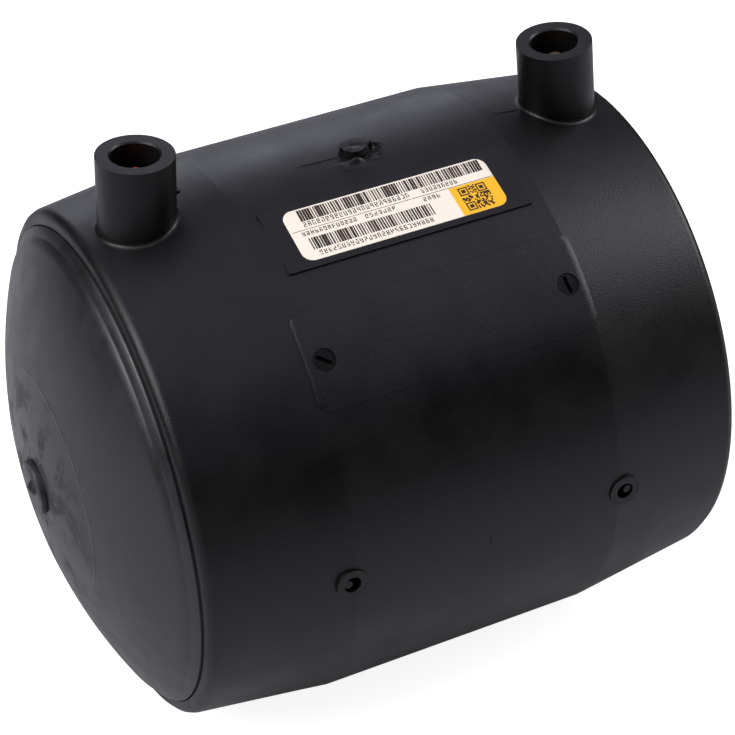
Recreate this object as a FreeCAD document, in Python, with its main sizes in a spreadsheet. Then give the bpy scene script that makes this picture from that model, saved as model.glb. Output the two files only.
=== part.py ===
import FreeCAD, Part
import os

import Sketcher
from FreeCAD import Placement, Rotation, Vector

# An electrofusion end cap for 125 mm pipe: a short moulded socket with two terminal shrouds, and a
# domed plug fused into one half of its bore. The pipe is pushed into the other half.
#
# The origin is on the bore's axis at the middle of the barrel, at the stop that the pipe is pushed against.
# +X runs along the bore out of the open mouth, the dome is at -X, and +Z goes up through the shrouds.

# Driving dimensions in millimetres, degrees and counts
SIZES = {
    "pipe_diameter": (125.0, "outer diameter of the pipe and of the plug"),
    "bore_clearance": (0.3, "from the pipe's surface to the bore's wall"),
    "barrel_half_length": (72.6, "middle of the barrel to either end"),
    "barrel_wall": (8.0, "wall over the middle of the barrel"),
    "cone_length": (36.6, "each end's cone, along the axis"),
    "mouth_wall": (3.5, "wall at the thin end of a cone"),
    "rim_land": (0.5, "flat ring left at either end inside its rounded edge"),
    "winding_inset": (12.0, "either end of the barrel to its winding"),
    "winding_length": (46.0, "each fusion zone, along the axis"),
    "winding_thickness": (1.0, "coated wire, outwards from the bore's wall"),
    "link_width": (2.4, "straight wire between the two zones"),
    "moulding_gap": (0.05, "round each moulded-in piece"),
    "stop_width": (1.6, "pipe stop, from the middle of the barrel towards the plug"),
    "stop_height": (2.0, "the same ring, inwards from the bore's wall"),
    "shroud_inset": (15.3, "either end of the barrel to a shroud's axis, level with the barrel's top"),
    "shroud_lean": (3.5, "each shroud's axis towards the middle"),
    "shroud_height": (15.7, "above the barrel's top, along the shroud's axis"),
    "shroud_radius": (9.6, "outside of a shroud"),
    "shroud_bore_radius": (6.0, "inside of a shroud"),
    "shroud_bore_depth": (17.2, "mouth of a shroud to its floor"),
    "shroud_mouth_chamfer": (0.4, "inner edge of a shroud's mouth"),
    "pin_radius": (2.0, "terminal pin above its shroud's floor"),
    "pin_root_radius": (2.4, "the same pin inside the floor"),
    "pin_tip_depth": (4.0, "mouth of a shroud to the tip of its pin"),
    "pin_tip_bevel": (0.5, "edge of the mouth-end pin's tip"),
    "pin_foot_gap": (0.3, "from a pin's foot to the winding under it"),
    "cap_length": (3.4, "red cap on the dome-end pin"),
    "cap_rounding": (1.2, "edge of that cap's tip"),
    "cap_peg_radius": (1.1, "peg of that pin inside the cap"),
    "cap_peg_length": (2.0, "the same peg"),
    "label_bed_length": (64.7, "flat bed under the label, along the barrel"),
    "label_bed_width": (19.2, "across that bed"),
    "label_bed_angle": (19.0, "its middle, from the top of the barrel"),
    "label_bed_rise": (0.56, "its long edges above the barrel's surface"),
    "label_length": (54.5, "along the barrel"),
    "label_width": (15.7, "across the label"),
    "label_thickness": (0.15, "paper and glue"),
    "label_corner": (3.0, "rounding of the label's corners"),
    "glue_gap": (0.02, "between the bed and the label"),
    "indicator_inset": (35.3, "either end of the barrel to its fusion indicator"),
    "indicator_pad_radius": (4.1, "raised round pad of an indicator"),
    "indicator_pad_height": (0.45, "above the barrel's surface"),
    "indicator_hole_radius": (2.2, "hole in that pad"),
    "indicator_hole_depth": (3.2, "below the pad's face"),
    "indicator_post_radius": (1.05, "post that rises when the joint is fused"),
    "indicator_post_drop": (0.5, "top of the post below the pad's face"),
    "indicator_post_offset": (0.9, "post from the hole's middle, away from the other indicator"),
    "gate_radius": (3.8, "disc left by the barrel's gate"),
    "gate_height": (0.8, "above the barrel's top"),
    "plug_gap": (0.05, "plug's inner end to the pipe stop"),
    "plug_proud": (2.1, "plug's shoulder beyond the barrel's end"),
    "plug_wall": (11.4, "tube wall of the plug"),
    "plug_shoulder_width": (2.1, "flat ring outside the dome"),
    "dome_skirt_width": (2.4, "steeper ring at the dome's foot, inwards"),
    "dome_skirt_rise": (1.9, "the same ring, along the axis"),
    "dome_radius": (125.0, "curve of the crown"),
    "dome_thickness": (20.0, "crown to the flat end of the hollow behind it"),
    "crown_gate_radius": (7.0, "disc left by the plug's gate"),
    "crown_gate_height": (1.15, "above the crown"),
}

# Lengths that follow from the driving ones, as expressions
PLUG_RADIUS = "(sizes.pipe_diameter / 2)"
BORE_RADIUS = f"({PLUG_RADIUS} + sizes.bore_clearance)"
BARREL_RADIUS = f"({BORE_RADIUS} + sizes.barrel_wall)"
RIM_RADIUS = f"({BORE_RADIUS} + sizes.mouth_wall)"
WINDING_RADIUS = f"({BORE_RADIUS} + sizes.winding_thickness)"
BED_RADIUS = f"({WINDING_RADIUS} + sizes.moulding_gap)"
WINDING_END = "(sizes.barrel_half_length - sizes.winding_inset)"
WINDING_START = f"({WINDING_END} - sizes.winding_length)"
PLUG_END = "(sizes.stop_width + sizes.plug_gap)"
LABEL_BED = f"(sqrt({BARREL_RADIUS}^2 - (sizes.label_bed_width / 2)^2) + sizes.label_bed_rise)"
SHROUD_PLACE = "(sizes.barrel_half_length - sizes.shroud_inset)"
SHOULDER = "(sizes.barrel_half_length + sizes.plug_proud)"
DOME_FOOT_RADIUS = f"({PLUG_RADIUS} - sizes.plug_shoulder_width)"
CROWN_RADIUS = f"({DOME_FOOT_RADIUS} - sizes.dome_skirt_width)"
CROWN_RISE = f"(sizes.dome_radius - sqrt(sizes.dome_radius^2 - {CROWN_RADIUS}^2))"
CROWN = f"({SHOULDER} + sizes.dome_skirt_rise + {CROWN_RISE})"

# Heights along a shroud's own axis, from the height of the barrel's top
PIN_FOOT = "(sizes.winding_thickness + sizes.pin_foot_gap - sizes.barrel_wall)"
SHROUD_FLOOR = "(sizes.shroud_height - sizes.shroud_bore_depth)"
PIN_TIP = "(sizes.shroud_height - sizes.pin_tip_depth)"
CAP_BOTTOM = f"({PIN_TIP} - sizes.cap_length)"

DOME_SIDE = -1
MOUTH_SIDE = 1
OVERLAP = 1.0    # how far an added form reaches into the wall that carries it
CLOSE = 1e-3     # two lengths nearer than this are taken as the same


doc = FreeCAD.newDocument("end_cap")
sheet = doc.addObject("Spreadsheet::Sheet", "sizes")
for row, (alias, (value, note)) in enumerate(SIZES.items(), start=1):
    sheet.set(f"A{row}", alias)
    sheet.set(f"B{row}", str(value))
    sheet.setAlias(f"B{row}", alias)
    sheet.set(f"C{row}", note)
doc.recompute()


def size(expression):
    """The number that an expression has at the present sizes."""
    return float(sheet.evalExpression(str(expression)))


def new_body(label):
    body = doc.addObject("PartDesign::Body", label)
    body.Label = label
    return body


def origin_part(body, role):
    """One of the body's own origin planes or axes."""
    return next(item for item in body.Origin.OriginFeatures if item.Role == role)


def new_sketch(body, name, plane="XZ_Plane"):
    sketch = body.newObject("Sketcher::SketchObject", name)
    sketch.AttachmentSupport = (origin_part(body, plane), [""])
    sketch.MapMode = "FlatFace"
    return sketch


def new_label_sketch(body, name, distance):
    """A sketch that lies as the label does, at a distance from the bore's axis."""
    sketch = new_sketch(body, name, "XY_Plane")
    sketch.AttachmentOffset = Placement(Vector(0, 0, 0), Rotation(Vector(1, 0, 0), 1))
    sketch.setExpression("AttachmentOffset.Rotation.Angle", "sizes.label_bed_angle")
    sketch.setExpression("AttachmentOffset.Base.y", f"-{distance} * sin(sizes.label_bed_angle)")
    sketch.setExpression("AttachmentOffset.Base.z", f"{distance} * cos(sizes.label_bed_angle)")
    return sketch


def stand_on_shroud_axis(sketch, side):
    """Puts a sketch's origin on a shroud's axis at the height of the barrel's top, leaning as it leans."""
    sketch.AttachmentOffset = Placement(Vector(0, 0, 0), Rotation(Vector(0, 0, 1), side))
    sketch.setExpression("AttachmentOffset.Base.x", f"{side} * {SHROUD_PLACE}")
    sketch.setExpression("AttachmentOffset.Base.y", BARREL_RADIUS)
    sketch.setExpression("AttachmentOffset.Rotation.Angle", f"{side} * sizes.shroud_lean")


def pin_point(sketch, geometry, end, along, up):
    """Holds one end of a sketch's line or arc at two expressions from the sketch's origin."""
    for kind, place in (("DistanceX", along), ("DistanceY", up)):
        index = sketch.addConstraint(Sketcher.Constraint(kind, -1, 1, geometry, end, size(place)))
        sketch.setExpression(f"Constraints[{index}]", str(place))


def draw_outline(sketch, corners):
    """A closed outline of straight lines through corners given as pairs of expressions."""
    points = [Vector(size(along), size(up), 0) for along, up in corners]
    count = len(points)
    for i in range(count):
        sketch.addGeometry(Part.LineSegment(points[i], points[(i + 1) % count]), False)
    for i in range(count):
        sketch.addConstraint(Sketcher.Constraint("Coincident", i, 2, (i + 1) % count, 1))
    for i, (along, up) in enumerate(corners):
        pin_point(sketch, i, 1, along, up)


def draw_band(sketch, start, end, low, high):
    """A rectangle from start to end along the bore, between two heights in the sketch."""
    draw_outline(sketch, [(start, low), (end, low), (end, high), (start, high)])


def rounded_edge(end, outside, radius, bevels, slope="0"):
    """Points that round the edge between a side and an end face in short bevels, side first.

    The side comes down to the outside radius at the end, with a slope, if the edge were sharp.
    """
    tilt = f"atan({slope})"
    centre = f"({outside} + {radius} * ({slope} - 1 / cos({tilt})))"
    points = []
    for step in range(bevels + 1):
        turn = f"((90 deg - {tilt}) * {1 - step / bevels})"
        points.append((
            f"({end} - {radius} * (1 - cos({turn})))",
            f"({centre} + {radius} * sin({turn}))",
        ))
    return points


def draw_circle(sketch, along, up, radius):
    centre = Vector(size(along), size(up), 0)
    circle = sketch.addGeometry(Part.Circle(centre, Vector(0, 0, 1), size(radius)), False)
    pin_point(sketch, circle, 3, along, up)
    index = sketch.addConstraint(Sketcher.Constraint("Radius", circle, size(radius)))
    sketch.setExpression(f"Constraints[{index}]", str(radius))


def turned(body, kind, name, sketch, axis):
    """A Revolution or a Groove of a sketch, all round."""
    feature = body.newObject(f"PartDesign::{kind}", name)
    feature.Profile = sketch
    feature.ReferenceAxis = axis
    feature.Angle = 360
    doc.recompute()
    return feature


def extruded(body, kind, name, sketch, length, both_ways=False):
    """A Pad or a Pocket of a sketch by an expression's length, from the sketch or centred on it."""
    feature = body.newObject(f"PartDesign::{kind}", name)
    feature.Profile = sketch
    feature.setExpression("Length", str(length))
    feature.Midplane = both_ways
    doc.recompute()
    return feature


def mirrored(body, name, originals):
    """The same features at the other end of the barrel."""
    feature = body.newObject("PartDesign::Mirrored", name)
    feature.Originals = originals
    feature.MirrorPlane = (origin_part(body, "YZ_Plane"), [""])
    body.Tip = feature
    doc.recompute()
    return feature


def dressed_edges(body, kind, name, amount, wanted):
    """A Fillet or a Chamfer of the edges of the body's last feature that the given test picks out."""
    base = body.Tip
    edges = [f"Edge{i}" for i, edge in enumerate(base.Shape.Edges, start=1) if wanted(edge)]
    feature = body.newObject(f"PartDesign::{kind}", name)
    feature.Base = (base, edges)
    feature.setExpression("Radius" if kind == "Fillet" else "Size", amount)
    doc.recompute()
    return feature


def bore_axis(body):
    return (origin_part(body, "X_Axis"), [""])


def near(value, expression):
    return abs(value - size(expression)) < CLOSE


# Socket body: the barrel
def build_socket_body():
    body = new_body("socket_body")
    section = new_sketch(body, "barrel_section")
    end = "sizes.barrel_half_length"
    cone = f"({end} - sizes.cone_length)"
    slope = "((sizes.barrel_wall - sizes.mouth_wall) / sizes.cone_length)"
    rounding = "(sizes.mouth_wall - sizes.rim_land)"
    wall = [
        (end, BORE_RADIUS),
        (WINDING_END, BORE_RADIUS),
        (WINDING_END, BED_RADIUS),
        (WINDING_START, BED_RADIUS),
        (WINDING_START, BORE_RADIUS),
    ]
    mouth_half = [(cone, BARREL_RADIUS)] + rounded_edge(end, RIM_RADIUS, rounding, 2, slope) + wall
    plug_half = [(cone, BARREL_RADIUS)] + rounded_edge(end, RIM_RADIUS, rounding, 3, slope) + wall
    stop_radius = f"({BORE_RADIUS} - sizes.stop_height)"
    pipe_stop = [
        (0, BORE_RADIUS),
        (0, stop_radius),
        ("-sizes.stop_width", stop_radius),
        ("-sizes.stop_width", BORE_RADIUS),
    ]
    far_half = [(f"-{along}", radius) for along, radius in reversed(plug_half)]
    draw_outline(section, mouth_half + pipe_stop + far_half)
    turned(body, "Revolution", "barrel", section, bore_axis(body))
    cut_link_slot(body)
    add_shrouds(body)
    add_label_bed(body)
    add_indicators(body)
    add_gate_disc(body)
    return body


def cut_link_slot(body):
    """The slot under the bore's wall in which the wire runs from zone to zone."""
    slot = new_sketch(body, "link_slot_section")
    draw_band(slot, f"-{WINDING_START}", WINDING_START, f"{BORE_RADIUS} - sizes.moulding_gap", BED_RADIUS)
    slot_width = "sizes.link_width + 2 * sizes.moulding_gap"
    extruded(body, "Pocket", "link_slot", slot, slot_width, both_ways=True)


def add_shrouds(body):
    """Both terminal shrouds, each bored down to a floor and through it for its pin."""
    outside = new_sketch(body, "shroud_section")
    stand_on_shroud_axis(outside, DOME_SIDE)
    root = "(sizes.mouth_wall / 2 - sizes.barrel_wall)"
    draw_outline(outside, [
        (0, root),
        ("sizes.shroud_radius", root),
        ("sizes.shroud_radius", "sizes.shroud_height"),
        (0, "sizes.shroud_height"),
    ])
    shroud = turned(body, "Revolution", "shroud", outside, (outside, ["V_Axis"]))

    inside = new_sketch(body, "shroud_bore_section")
    stand_on_shroud_axis(inside, DOME_SIDE)
    hole = "(sizes.pin_root_radius + sizes.moulding_gap)"
    below = f"({PIN_FOOT} - {OVERLAP})"
    above = f"(sizes.shroud_height + {OVERLAP})"
    bevel = "sizes.shroud_mouth_chamfer"
    draw_outline(inside, [
        (0, below),
        (hole, below),
        (hole, SHROUD_FLOOR),
        ("sizes.shroud_bore_radius", SHROUD_FLOOR),
        ("sizes.shroud_bore_radius", f"(sizes.shroud_height - {bevel})"),
        (f"(sizes.shroud_bore_radius + {bevel})", "sizes.shroud_height"),
        (f"(sizes.shroud_bore_radius + {bevel})", above),
        (0, above),
    ])
    bore = turned(body, "Groove", "shroud_bore", inside, (inside, ["V_Axis"]))
    mirrored(body, "other_shroud", [shroud, bore])


def add_label_bed(body):
    """A flat bed that stands proud of the barrel along its long edges and is cut into it between them."""
    half_length = "sizes.label_bed_length / 2"
    half_width = "sizes.label_bed_width / 2"
    above = new_label_sketch(body, "label_bed_cut_outline", f"({LABEL_BED} + {OVERLAP})")
    draw_band(above, f"-{half_length}", half_length, f"-{half_width}", half_width)
    extruded(body, "Pocket", "label_bed_cut", above, OVERLAP)

    below = new_label_sketch(body, "label_bed_outline", f"({LABEL_BED} - {OVERLAP})")
    draw_band(below, f"-{half_length}", half_length, f"-{half_width}", half_width)
    extruded(body, "Pad", "label_bed", below, OVERLAP)


def add_indicators(body):
    """The two fusion indicators, on the side of the barrel."""
    along = "(sizes.indicator_inset - sizes.barrel_half_length)"
    face = f"({BARREL_RADIUS} + sizes.indicator_pad_height)"

    def side_sketch(name, out):
        sketch = new_sketch(body, name)
        sketch.setExpression("AttachmentOffset.Base.z", out)
        return sketch

    disc = side_sketch("indicator_pad_outline", f"{BARREL_RADIUS} - {OVERLAP}")
    draw_circle(disc, along, 0, "sizes.indicator_pad_radius")
    pad = extruded(body, "Pad", "indicator_pad", disc, f"sizes.indicator_pad_height + {OVERLAP}")

    ring = side_sketch("indicator_hole_outline", face)
    draw_circle(ring, along, 0, "sizes.indicator_hole_radius")
    hole = extruded(body, "Pocket", "indicator_hole", ring, "sizes.indicator_hole_depth")

    tip = side_sketch("indicator_post_outline", f"{face} - sizes.indicator_hole_depth")
    draw_circle(tip, f"{along} - sizes.indicator_post_offset", 0, "sizes.indicator_post_radius")
    post_length = "sizes.indicator_hole_depth - sizes.indicator_post_drop"
    post = extruded(body, "Pad", "indicator_post", tip, post_length)
    mirrored(body, "other_indicator", [pad, hole, post])


def add_gate_disc(body):
    disc = new_sketch(body, "gate_outline", "XY_Plane")
    disc.setExpression("AttachmentOffset.Base.z", f"{BARREL_RADIUS} - {OVERLAP}")
    draw_circle(disc, 0, 0, "sizes.gate_radius")
    extruded(body, "Pad", "gate_disc", disc, f"sizes.gate_height + {OVERLAP}")


# End plug: a tube closed by a dome, one moulding
def build_end_plug():
    """Turned forms in a row from the plug's inner end to its crown, less the hollow behind the dome."""
    skirt_end = f"({SHOULDER} + sizes.dome_skirt_rise)"
    tube = add_cylinder("plug_tube", PLUG_END, SHOULDER, PLUG_RADIUS)
    skirt = add_cone("dome_skirt", SHOULDER, skirt_end, DOME_FOOT_RADIUS, CROWN_RADIUS)
    crown_core = add_cylinder("crown_core", skirt_end, f"({CROWN} + {OVERLAP})", CROWN_RADIUS)
    crown = combined("Part::MultiCommon", "crown", [crown_core, add_crown_ball()])
    gate = add_cylinder("crown_gate", f"({CROWN} - {OVERLAP})", f"({CROWN} + sizes.crown_gate_height)",
                        "sizes.crown_gate_radius")
    outside = combined("Part::MultiFuse", "plug_outside", [tube, skirt, crown, gate])

    plug = doc.addObject("Part::Cut", "end_plug")
    plug.Base = outside
    plug.Tool = add_cylinder("hollow", f"({PLUG_END} - {OVERLAP})", f"({CROWN} - sizes.dome_thickness)",
                             f"({PLUG_RADIUS} - sizes.plug_wall)")
    doc.recompute()
    return plug


def along_plug(primitive, start):
    """Lays an upright primitive along -X, its foot at a distance from the middle of the barrel."""
    primitive.Placement = Placement(Vector(0, 0, 0), Rotation(Vector(0, 1, 0), -90))
    primitive.setExpression("Placement.Base.x", f"-{start}")
    return primitive


def add_cylinder(name, start, end, radius):
    cylinder = doc.addObject("Part::Cylinder", name)
    cylinder.setExpression("Radius", radius)
    cylinder.setExpression("Height", f"{end} - {start}")
    return along_plug(cylinder, start)


def add_cone(name, start, end, start_radius, end_radius):
    cone = doc.addObject("Part::Cone", name)
    cone.setExpression("Radius1", start_radius)
    cone.setExpression("Radius2", end_radius)
    cone.setExpression("Height", f"{end} - {start}")
    return along_plug(cone, start)


def add_crown_ball():
    """A ball about the centre of the crown's curve."""
    ball = doc.addObject("Part::Sphere", "crown_ball")
    ball.setExpression("Radius", "sizes.dome_radius")
    ball.setExpression("Placement.Base.x", f"sizes.dome_radius - {CROWN}")
    return ball


def combined(kind, name, shapes):
    result = doc.addObject(kind, name)
    result.Shapes = shapes
    return result


# Heating coil: two bands of wound wire, flush with the bore's wall, and the wire between them
def build_heating_coil():
    body = new_body("heating_coil")
    section = new_sketch(body, "winding_section")
    draw_band(section, WINDING_START, WINDING_END, BORE_RADIUS, WINDING_RADIUS)
    winding = turned(body, "Revolution", "winding", section, bore_axis(body))
    mirrored(body, "other_winding", [winding])

    link = new_sketch(body, "link_section")
    reach = f"({WINDING_START} + {OVERLAP})"
    draw_band(link, f"-{reach}", reach, BORE_RADIUS, WINDING_RADIUS)
    extruded(body, "Pad", "link", link, "sizes.link_width", both_ways=True)
    return body


# Terminal pins: a thicker root in the wall carries the shank up through the shroud's floor
def build_pin(label, side):
    body = new_body(label)
    section = new_sketch(body, "pin_section")
    stand_on_shroud_axis(section, side)
    root = [
        (0, PIN_FOOT),
        ("sizes.pin_root_radius", PIN_FOOT),
        ("sizes.pin_root_radius", SHROUD_FLOOR),
        ("sizes.pin_radius", SHROUD_FLOOR),
    ]
    if side == MOUTH_SIDE:
        tip = [
            ("sizes.pin_radius", f"({PIN_TIP} - sizes.pin_tip_bevel)"),
            ("(sizes.pin_radius - sizes.pin_tip_bevel)", PIN_TIP),
            (0, PIN_TIP),
        ]
    else:
        tip = [
            ("sizes.pin_radius", CAP_BOTTOM),
            ("sizes.cap_peg_radius", CAP_BOTTOM),
            ("sizes.cap_peg_radius", f"({CAP_BOTTOM} + sizes.cap_peg_length)"),
            (0, f"({CAP_BOTTOM} + sizes.cap_peg_length)"),
        ]
    draw_outline(section, root + tip)
    turned(body, "Revolution", "pin", section, (section, ["V_Axis"]))
    return body


# Red cap: a domed plastic tip pressed over the peg of the dome-end pin
def build_red_pin_cap():
    body = new_body("red_pin_cap")
    section = new_sketch(body, "cap_section")
    stand_on_shroud_axis(section, DOME_SIDE)
    socket = "(sizes.cap_peg_radius + sizes.moulding_gap)"
    socket_top = f"({CAP_BOTTOM} + sizes.cap_peg_length + sizes.moulding_gap)"
    bottom = f"({CAP_BOTTOM} + sizes.moulding_gap)"
    dome = [(out, up) for up, out in rounded_edge(PIN_TIP, "sizes.pin_radius", "sizes.cap_rounding", 1)]
    draw_outline(section, [(socket, bottom), ("sizes.pin_radius", bottom)] + dome + [
        (0, PIN_TIP),
        (0, socket_top),
        (socket, socket_top),
    ])
    turned(body, "Revolution", "cap", section, (section, ["V_Axis"]))
    return body


# Label: a thin flat sticker on its bed
def build_barcode_label():
    body = new_body("barcode_label")
    outline = new_label_sketch(body, "label_outline", f"({LABEL_BED} + sizes.glue_gap)")
    half_length = "sizes.label_length / 2"
    half_width = "sizes.label_width / 2"
    draw_band(outline, f"-{half_length}", half_length, f"-{half_width}", half_width)
    extruded(body, "Pad", "label", outline, "sizes.label_thickness")

    def at_a_corner(edge):
        """True for a short edge through the label's thickness."""
        return near(edge.BoundBox.XLength, 0) and near(edge.Length, "sizes.label_thickness")

    dressed_edges(body, "Fillet", "label_corners", "sizes.label_corner", at_a_corner)
    return body


def check_and_write(bodies):
    doc.recompute()
    for item in doc.Objects:
        if "Invalid" in item.State or "Error" in item.State:
            raise RuntimeError(f"{item.Name} failed: {item.State}")
    for body in bodies:
        if body.Shape.isNull() or not body.Shape.isValid():
            raise RuntimeError(f"{body.Label} has no valid shape")
    os.makedirs("parts", exist_ok=True)
    for body in bodies:
        body.Shape.exportStep(f"parts/{body.Label}.step")
        print(f"{body.Label}: {body.Shape.Volume:.0f} cubic mm, {len(body.Shape.Faces)} faces")


check_and_write([
    build_socket_body(),
    build_end_plug(),
    build_heating_coil(),
    build_pin("terminal_pin_dome_end", DOME_SIDE),
    build_pin("terminal_pin_mouth_end", MOUTH_SIDE),
    build_red_pin_cap(),
    build_barcode_label(),
])
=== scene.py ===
# %% [markdown]
# # A black pipe end cap, dressed in Blender
# The object is an electrofusion end cap for 125 mm plastic pipe. A short moulded socket holds a
# heating wire, two terminal shrouds stand on it, and a domed plug closes one end. The solid model
# comes from a CAD program as a fixed frame. This lesson gives it the skin of the real thing.

# %% Load the frame
import math
import random
from functools import partial

import bmesh
import bpy
from mathutils import Matrix, Vector


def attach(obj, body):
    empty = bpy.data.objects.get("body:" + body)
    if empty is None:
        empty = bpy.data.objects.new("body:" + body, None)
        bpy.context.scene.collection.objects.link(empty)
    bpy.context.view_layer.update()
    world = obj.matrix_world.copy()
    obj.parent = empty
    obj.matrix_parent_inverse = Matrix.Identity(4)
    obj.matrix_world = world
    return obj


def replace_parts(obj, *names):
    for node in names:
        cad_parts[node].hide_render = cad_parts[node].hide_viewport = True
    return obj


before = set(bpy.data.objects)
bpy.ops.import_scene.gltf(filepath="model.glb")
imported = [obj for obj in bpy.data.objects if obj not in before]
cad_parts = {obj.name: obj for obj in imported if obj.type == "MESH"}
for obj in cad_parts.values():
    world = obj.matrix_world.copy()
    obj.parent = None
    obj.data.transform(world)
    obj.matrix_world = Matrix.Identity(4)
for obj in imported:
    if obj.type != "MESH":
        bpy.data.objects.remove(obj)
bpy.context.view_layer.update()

# %% [markdown]
# ## Measures
# Blender works in metres and a fitting is drawn in millimetres. Each size is written in millimetres
# under the name that a fitter would use, and is turned to metres where vertices are made. The
# bore's axis is X, the open mouth is at +X, and the terminal shrouds stand up along +Z.

# %% Sizes of the fitting in millimetres
MM = 0.001
BARREL_HALF = 72.6
BARREL_RADIUS = 70.8
CYLINDER_HALF = 36.0
MOUTH_RADIUS = 66.3
BORE_RADIUS = 62.8
PLUG_RADIUS = 62.5
SHROUD_INSET = 15.3
SHROUD_LEAN = math.radians(3.5)
SHROUD_RADIUS = 9.6
SHROUD_FLOOR = -1.5
PIN_TIP = 11.7
BED_ANGLE = math.radians(19.0)
BED_HALF_LENGTH = 32.35
BED_HALF_WIDTH = 9.6
BED_DISTANCE = math.sqrt(BARREL_RADIUS ** 2 - BED_HALF_WIDTH ** 2) + 0.56

# %% [markdown]
# ## Small tools
# A few helpers carry the whole lesson. Some place a point: on the outside of the barrel, from a
# place along the bore and an angle away from the top, or on the flat bed under the label. Some join
# points by faces: an outline turned round an axis, as on a lathe, or rings of points one after the
# other. The last ones turn points in millimetres into a closed mesh and a finished piece.

# %% Mesh helpers
def finish_piece(name, mesh, material, slot, smooth_degrees=35):
    """A piece of the fitting in one material, smooth but for edges sharper than an angle."""
    mesh.validate()
    mesh.shade_smooth()
    mesh.set_sharp_from_angle(angle=math.radians(smooth_degrees))
    mesh.materials.clear()
    mesh.materials.append(material)
    mesh.polygons.foreach_set("material_index", [0] * len(mesh.polygons))
    piece = bpy.data.objects.new(name, mesh)
    bpy.context.scene.collection.objects.link(piece)
    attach(piece, "root")
    print(f"{name}: {len(mesh.polygons)} faces")
    return piece


def barrel_radius(x):
    """Outer radius in mm of the barrel at a place along the bore."""
    fall = (BARREL_RADIUS - MOUTH_RADIUS) / (BARREL_HALF - CYLINDER_HALF)
    return BARREL_RADIUS - fall * max(0.0, abs(x) - CYLINDER_HALF)


def on_cylinder(x, angle, radius):
    """A point at an angle in degrees from the top, towards the label's side."""
    turn = math.radians(angle)
    return (x, -radius * math.sin(turn), radius * math.cos(turn))


BED_NORMAL = Vector((0, -math.sin(BED_ANGLE), math.cos(BED_ANGLE)))
BED_DOWN = Vector((0, -math.cos(BED_ANGLE), -math.sin(BED_ANGLE)))


def on_bed(x, down, up):
    """A point on the flat bed under the label, from its middle line, with a height over it."""
    return Vector((x, 0, 0)) + BED_NORMAL * (BED_DISTANCE + up) + BED_DOWN * down


def spin(outline, steps, place):
    """Points and faces of an outline of (along, radius) turned all round; radius 0 closes a pole."""
    points = []
    rings = []
    for along, radius in outline:
        count = 1 if radius == 0 else steps
        rings.append(range(len(points), len(points) + count))
        points += [place(along, radius, 2 * math.pi * k / steps) for k in range(count)]
    faces = []
    for low, high in zip(rings, rings[1:]):
        for k in range(steps):
            after = (k + 1) % steps
            quad = [low[k % len(low)], low[after % len(low)], high[after % len(high)], high[k % len(high)]]
            faces.append(list(dict.fromkeys(quad)))
    return points, faces


def round_bore(along, radius, turn):
    return (along, -radius * math.sin(turn), radius * math.cos(turn))


def ring_faces(count, rings, start=0, wrap=False):
    """Quads that join rings of count points, and with wrap the last ring with the first."""
    faces = []
    for ring in range(rings if wrap else rings - 1):
        low, high = start + ring * count, start + (ring + 1) % rings * count
        for k in range(count):
            after = (k + 1) % count
            faces.append((low + k, low + after, high + after, high + k))
    return faces


def tube_faces(count, rings, start=0):
    """Quads that join rings of count points, with the first and the last ring closed."""
    last = start + (rings - 1) * count
    ends = [range(start, start + count)[::-1], range(last, last + count)]
    return ring_faces(count, rings, start) + [tuple(end) for end in ends]


def face_outwards(mesh):
    """Turns every face of a closed mesh outwards."""
    work = bmesh.new()
    work.from_mesh(mesh)
    bmesh.ops.recalc_face_normals(work, faces=work.faces)
    work.to_mesh(mesh)
    work.free()


def closed_mesh(name, points, faces):
    """A mesh from points in mm, with all faces outwards."""
    mesh = bpy.data.meshes.new(name)
    mesh.from_pydata([Vector(p) * MM for p in points], [], faces)
    face_outwards(mesh)
    return mesh


def make_closed(name, points, faces, material, slot, smooth_degrees=35):
    return finish_piece(name, closed_mesh(name, points, faces), material, slot, smooth_degrees)


# %% [markdown]
# ## Colours and shader nodes
# A colour is written as it would be picked on a screen, and one function turns it to the linear
# values that the renderer works in. One more function adds a node with its settings and its
# inputs, each a plain value or another node, so that a material reads as a list of what it is
# made of. Math nodes and ranges take their inputs in the order in which the node shows them.

# %% Material helpers
def colour(code):
    """Linear RGBA from an sRGB hex code."""
    parts = [int(code[i:i + 2], 16) / 255 for i in (1, 3, 5)]
    return tuple(c / 12.92 if c <= 0.04045 else ((c + 0.055) / 1.055) ** 2.4 for c in parts) + (1.0,)


RANGE, NOISE, MIX = "ShaderNodeMapRange", "ShaderNodeTexNoise", "ShaderNodeMix"


def add_node(tree, kind, inputs=(), **settings):
    """A node with its settings. An input is linked to a node or socket, or else set to a value.
    A kind in capitals is what a math node does."""
    if kind.isupper():
        kind, settings = "ShaderNodeMath", {"operation": kind}
    node = tree.nodes.new(kind)
    for name, value in settings.items():
        setattr(node, name, value)
    for place, given in (inputs.items() if isinstance(inputs, dict) else enumerate(inputs)):
        for value in (given if isinstance(given, list) else [given]):
            if isinstance(value, bpy.types.Node):
                value = next(output for output in value.outputs if output.enabled)
            if isinstance(value, bpy.types.NodeSocket):
                tree.links.new(value, node.inputs[place])
            else:
                node.inputs[place].default_value = value
    return node


def new_material(name):
    """A material, what adds a node to its tree, and the place that its patterns start from."""
    material = bpy.data.materials.new(name)
    material.use_nodes = True
    tree = material.node_tree
    tree.nodes.clear()
    add = partial(add_node, tree)
    return material, add, add("ShaderNodeTexCoord").outputs["Object"]


def finish_material(add, inputs):
    shader = add("ShaderNodeBsdfPrincipled", inputs)
    add("ShaderNodeOutputMaterial", (shader,))


# %% [markdown]
# ## Black polyethylene, moulded against a spark-eroded tool
# The socket is high-density polyethylene, black from soot that keeps out sunlight. The mould was
# spark-eroded, which leaves a fine even grain that scatters light and makes the plastic satin. A
# plain black would look like a hole, so the grain is a bump, and broad soft patches of roughness
# stand for handling. The flat bed under the label was polished in the mould, so it is smoother.

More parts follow.
